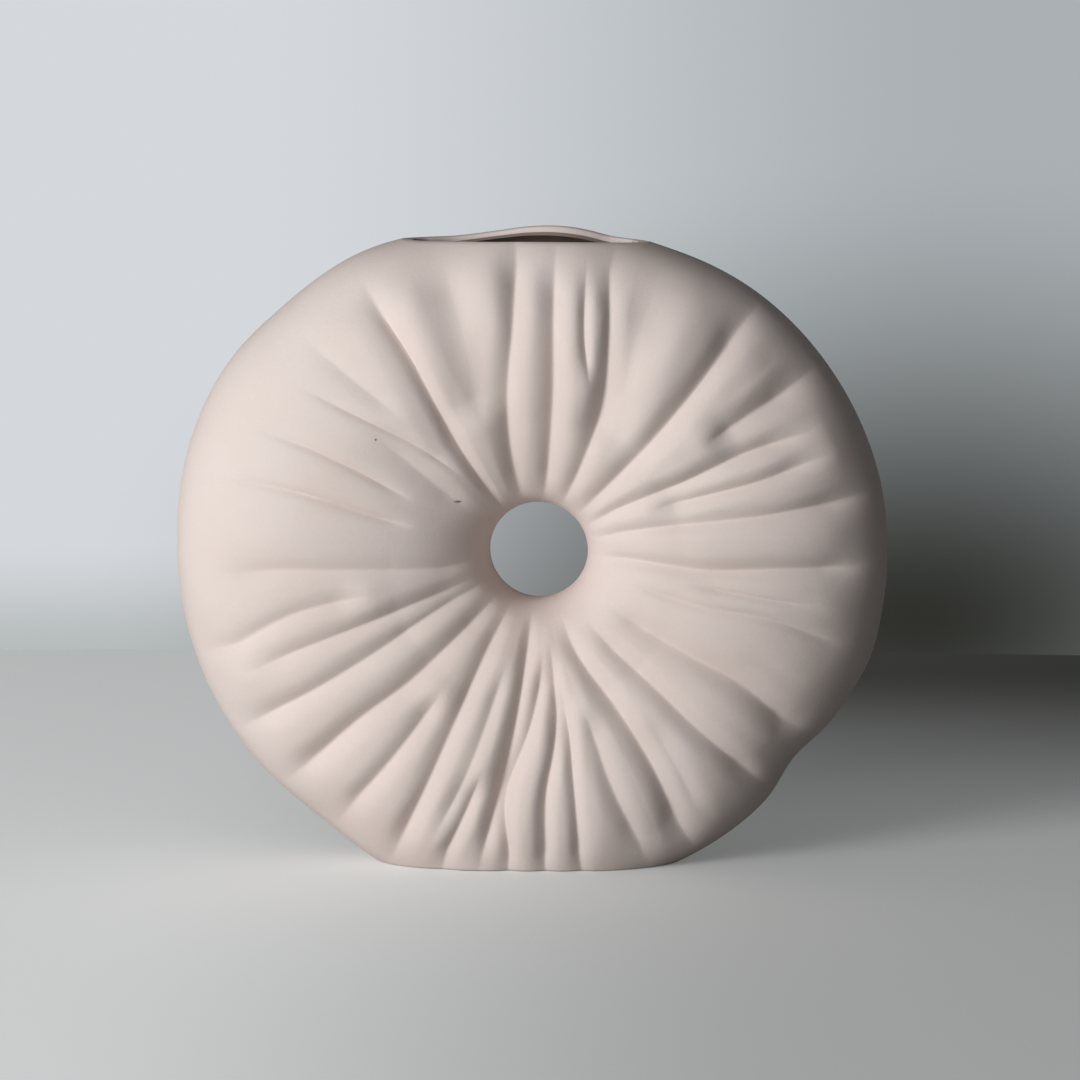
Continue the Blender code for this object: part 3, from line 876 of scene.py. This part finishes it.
# Beside and behind together make a dark patch behind the vase on the right: a painted shadow.
beside = add(tree, "ShaderNodeMapRange", SMOOTH_RANGE, i0=across, i1=-0.08, i2=0.14)
behind = add(tree, "ShaderNodeMapRange", SMOOTH_RANGE, i0=back, i1=0.02, i2=0.50)
painted_shadow = add(tree, "ShaderNodeMath", {"operation": "MULTIPLY"}, i0=beside, i1=behind)
left, right = linear("#F6F8F8"), linear("#C9CBCA")
pale = add(tree, "ShaderNodeMix", COLOUR_MIX, i0=painted_shade_to_right, i6=left, i7=right)
pale = add(tree, "ShaderNodeMix", COLOUR_MIX, i0=painted_shadow, i6=pale, i7=linear("#535450"))
# To the light the floor is also painted darker towards the right: painted shade.
left, right = linear("#D3D5D4"), linear("#979896")
matt = add(tree, "ShaderNodeMix", COLOUR_MIX, i0=painted_shade_to_right, i6=left, i7=right)
plain = add(tree, "ShaderNodeBsdfPrincipled", Base_Color=matt, Roughness=0.9)
lifted = add(
    tree,
    "ShaderNodeBsdfPrincipled",
    Base_Color=pale,
    Roughness=0.9,
    Specular_IOR_Level=0.0,
    Emission_Color=pale,
    Emission_Strength=0.24,
)
path = add(tree, "ShaderNodeLightPath")
seen = path.outputs["Is Camera Ray"]
surface = add(tree, "ShaderNodeMixShader", i0=seen, i1=plain, i2=lifted)
add(tree, "ShaderNodeOutputMaterial", Surface=surface)
bm = bmesh.new()
bmesh.ops.create_circle(bm, cap_ends=True, segments=256, radius=FLOOR_RADIUS)
bmesh.ops.translate(bm, verts=bm.verts, vec=(0, FLOOR_BEHIND - FLOOR_RADIUS, 0))
mesh = bpy.data.meshes.new("floor")
bm.to_mesh(mesh)
bm.free()
floor = bpy.data.objects.new("floor", mesh)
floor.data.materials.append(material)
bpy.context.scene.collection.objects.link(floor)
floor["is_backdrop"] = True
print(f"the floor ends {FLOOR_BEHIND} m behind the vase")

# %% [markdown]
# ## One soft lamp
# A large soft lamp stands to the left of the camera, a little above the vase, as a window would.
# It is low, so that it grazes the folds and each one gets a lit and a shaded side. A sun lamp
# would graze them too, but its shadows would be hard.

# %% The lamp
LAMP_TURN = radians(42)
LAMP_RISE = radians(12)
LAMP_DISTANCE = 3.0


def direction(turn, rise):
    """The way from the vase to a place at this turn to the left of the front, and this rise."""
    return Vector((-sin(turn) * cos(rise), -cos(turn) * cos(rise), sin(rise)))


hole = Vector((HOLE_X, 0, HOLE_HEIGHT)) * MM
lamp_way = direction(LAMP_TURN, LAMP_RISE)
lamp = bpy.data.lights.new("soft window lamp", "AREA")
lamp.shape = "RECTANGLE"
lamp.size = 1.3
lamp.size_y = 1.1
lamp.energy = 77
lamp_object = bpy.data.objects.new("soft_window_lamp", lamp)
lamp_object.location = hole + lamp_way * LAMP_DISTANCE
lamp_object.rotation_euler = lamp_way.to_track_quat("Z", "Y").to_euler()
bpy.context.scene.collection.objects.link(lamp_object)
print(f"lamp {lamp.energy:.0f} W at {LAMP_DISTANCE} m")

# %% [markdown]
# ## The surround
# A world stands in for the room. To the light it is dim: it fills the folds a little from the
# front left and from above, and leaves the side away from the lamp dark. The camera sees a pale
# wall instead. Shade away from the lamp is painted into its colour, darker to the right, and a
# painted shadow lies low behind the vase on the right; the wall is also darker low down, where
# it meets the floor. Real walls could do both, but a world has no corners to hide and no edges
# to show.

# %% The surround
FILL_MOST = 0.21
FILL_LEAST = 0.02
FILL_ABOVE = 0.07
FILL_RIGHT = 0.05
# Middle and size, as directions, of the painted shadow on the wall.
PAINTED_SHADOW_MIDDLE = (0.045, 1.0, -0.155)
PAINTED_SHADOW_SIZE = (0.18, 10.0, 0.10)
world = bpy.data.worlds.new("pale surround")
world.use_nodes = True
tree = world.node_tree
tree.nodes.clear()
way = add(tree, "ShaderNodeTexCoord").outputs["Generated"]
parts = add(tree, "ShaderNodeSeparateXYZ", Vector=way)
across, back, up = (parts.outputs[axis] for axis in "XYZ")
front = add(tree, "ShaderNodeMapRange", SMOOTH_RANGE, i0=back, i1=0.3, i2=-0.7)
left = add(tree, "ShaderNodeMapRange", SMOOTH_RANGE, i0=across, i1=0.7, i2=0.0, i3=FILL_RIGHT)
above = add(tree, "ShaderNodeMapRange", SMOOTH_RANGE, i0=up, i1=0.1, i2=0.9, i4=FILL_ABOVE)
fill = add(tree, "ShaderNodeMath", {"operation": "MULTIPLY"}, i0=front, i1=left)
fill = add(tree, "ShaderNodeMapRange", i0=fill, i3=FILL_LEAST, i4=FILL_MOST)
fill = add(tree, "ShaderNodeMath", {"operation": "ADD"}, i0=fill, i1=above)
ambient = add(tree, "ShaderNodeBackground", Color=linear("#ECEFF2"), Strength=fill)
# The wall is painted darker to the right: painted shade away from the lamp.
right = add(tree, "ShaderNodeMapRange", SMOOTH_RANGE, i0=across, i1=-0.10, i2=0.06)
below = add(tree, "ShaderNodeMapRange", SMOOTH_RANGE, i0=up, i1=-0.138, i2=-0.163)
# A dark patch low behind the vase on the right: a painted shadow on the wall.
painted_shadow = near(tree, way, PAINTED_SHADOW_MIDDLE, PAINTED_SHADOW_SIZE)
bright, grey = linear("#D4D8DC"), linear("#AAB0B3")
pale = add(tree, "ShaderNodeMix", COLOUR_MIX, i0=right, i6=bright, i7=grey)
pale = add(tree, "ShaderNodeMix", COLOUR_MIX, i0=below, i6=pale, i7=linear("#B6BBBC"))
pale = add(tree, "ShaderNodeMix", COLOUR_MIX, i0=painted_shadow, i6=pale, i7=linear("#30312D"))
backdrop = add(tree, "ShaderNodeBackground", Color=pale, Strength=1.0)
path = add(tree, "ShaderNodeLightPath")
seen, mirrored = path.outputs["Is Camera Ray"], path.outputs["Is Glossy Ray"]
seen = add(tree, "ShaderNodeMath", {"operation": "MAXIMUM"}, i0=seen, i1=mirrored)
chosen = add(tree, "ShaderNodeMixShader", i0=seen, i1=ambient, i2=backdrop)
add(tree, "ShaderNodeOutputWorld", Surface=chosen)
bpy.context.scene.world = world
bpy.context.scene.view_settings.view_transform = "Standard"
print(f"the surround fills with {FILL_LEAST} to {FILL_MOST + FILL_ABOVE:.2f}")

# %% [markdown]
# ## The camera
# The photograph looks at the vase almost squarely, from a little above, and from far enough away
# that the far lip is hardly smaller than the near one. A long lens at two metres gives the same
# perspective.

# %% The camera
VIEW_TURN = radians(2)
VIEW_RISE = radians(8)
VIEW_DISTANCE = 2.02
MM_PER_PIXEL = 0.425
IMAGE_SIZE = 1080
SENSOR = 36.0
HOLE_PIXEL = (539, 549)
camera = bpy.data.cameras.new("camera")
camera.sensor_width = SENSOR
camera.lens = SENSOR * VIEW_DISTANCE / (MM_PER_PIXEL * MM) / IMAGE_SIZE
camera_object = bpy.data.objects.new("camera", camera)
view_way = direction(-VIEW_TURN, VIEW_RISE)
camera_object.rotation_euler = view_way.to_track_quat("Z", "Y").to_euler()
bpy.context.scene.collection.objects.link(camera_object)
bpy.context.view_layer.update()
turn = camera_object.rotation_euler.to_matrix()
shift_right = (HOLE_PIXEL[0] - IMAGE_SIZE / 2) * MM_PER_PIXEL * MM
shift_down = (HOLE_PIXEL[1] - IMAGE_SIZE / 2) * MM_PER_PIXEL * MM
aim = hole - turn @ Vector((shift_right, -shift_down, 0))
camera_object.location = aim + view_way * VIEW_DISTANCE
bpy.context.scene.camera = camera_object
print(f"lens {camera.lens:.1f} mm")

# %% [markdown]
# ## Keep both boxes
# The dressed vase is meant to keep the size of the solids. Both boxes are printed in
# millimetres, so that anyone can compare them.

# %% Keep both boxes and print them
boxes = {"cad": cad_box, "visual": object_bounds()}
boxes = {name: [list(corner) for corner in box] for name, box in boxes.items()}
for name, (low, high) in boxes.items():
    print(name, "box", [round((end - start) / MM, 1) for start, end in zip(low, high)], "mm")
